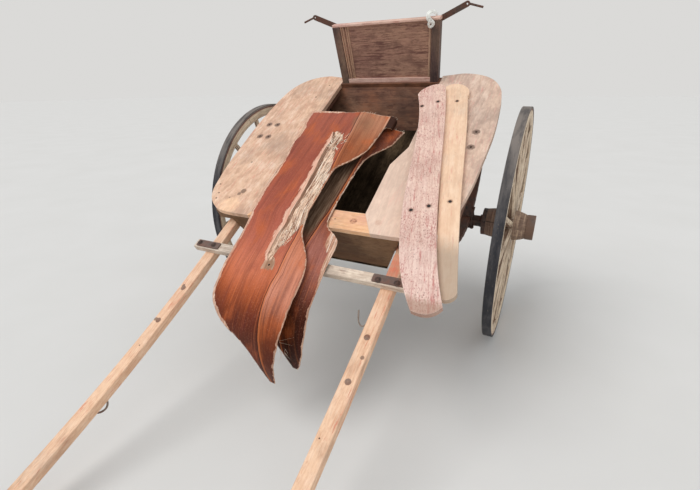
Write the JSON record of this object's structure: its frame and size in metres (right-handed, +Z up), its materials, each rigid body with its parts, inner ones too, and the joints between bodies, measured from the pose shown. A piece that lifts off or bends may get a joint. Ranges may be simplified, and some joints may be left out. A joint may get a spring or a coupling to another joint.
{
  "type": "horse-drawn cart",
  "caption": "Small wooden horse cart stripped for repair, tipped forward on its shaft tips, with spoked wheels, flat wings over them, a seat back, and loose boards and bent panels laid on it.",
  "frame": {"origin": "on the ground, at the middle of the whole cart's bounding box", "axes": "-Y points forward, the way the shafts point; +X is to the right of a viewer who faces the cart's front; +Z is up"},
  "size_m": [1.743, 2.7429, 1.6777],
  "materials": {
    "sanded_wood": "bare sanded wood",
    "brown_wood": "old brown stain, worn",
    "varnished_ply": "old red-brown varnish, splintered edges",
    "wheel_wood": "pale paint rubbed down to the wood",
    "nave_wood": "weathered bare wood",
    "tyre": "worn matte",
    "iron": "rusty, rubbed",
    "cloth": "dirty white cotton"
  },
  "bodies": {
    "cart": {"axle": "iron", "axle_clip_left": "iron", "axle_clip_right": "iron", "bar_strap_left": "iron", "bar_strap_right": "iron", "bearer_front": "brown_wood", "bearer_rear": "brown_wood", "bent_sheet_lower": "varnished_ply", "bent_sheet_upper": "varnished_ply", "cloth_strip": "cloth", "crossbar": "sanded_wood", "floor": "brown_wood", "front_panel": "brown_wood", "front_rail": "sanded_wood", "hanger_front_left": "iron", "hanger_front_right": "iron", "hanger_rear_left": "iron", "hanger_rear_right": "iron", "loose_board_pale": "sanded_wood", "loose_board_pink": "sanded_wood", "rear_panel": "brown_wood", "rear_rail": "brown_wood", "seat_arm_left": "iron", "seat_arm_right": "iron", "seat_back_cap": "sanded_wood", "seat_back_foot": "sanded_wood", "seat_back_panel": "brown_wood", "seat_post_left": "brown_wood", "seat_post_right": "brown_wood", "shaft_left": "sanded_wood", "shaft_packing_left": "sanded_wood", "shaft_packing_right": "sanded_wood", "shaft_right": "sanded_wood", "side_panel_left": "brown_wood", "side_panel_right": "brown_wood", "side_rail_left": "brown_wood", "side_rail_right": "brown_wood", "spring_left": "iron", "spring_right": "iron", "valance_left": "brown_wood", "valance_right": "brown_wood", "wing_batten_left": "brown_wood", "wing_batten_right": "brown_wood", "wing_left": "sanded_wood", "wing_right": "sanded_wood"},
    "wheel_left": {"axle_box_left": "iron", "felloes_left": "wheel_wood", "nave_band_left": "iron", "nave_hoop_left": "iron", "nave_left": "nave_wood", "spokes_left": "wheel_wood", "tyre_left": "tyre"},
    "wheel_right": {"axle_box_right": "iron", "felloes_right": "wheel_wood", "nave_band_right": "iron", "nave_hoop_right": "iron", "nave_right": "nave_wood", "spokes_right": "wheel_wood", "tyre_right": "tyre"}
  },
  "joints": [
    {"name": "wheel_left_spin", "type": "hinge", "parent": "cart", "child": "wheel_left", "pos_m": [-0.746, 0.77133, 0.6003], "axis": [0.9997, -0.0122, 0.0202], "continuous": true},
    {"name": "wheel_right_spin", "type": "hinge", "parent": "cart", "child": "wheel_right", "pos_m": [0.746, 0.77133, 0.6003], "axis": [0.9997, 0.0122, -0.0202], "continuous": true}
  ]
}
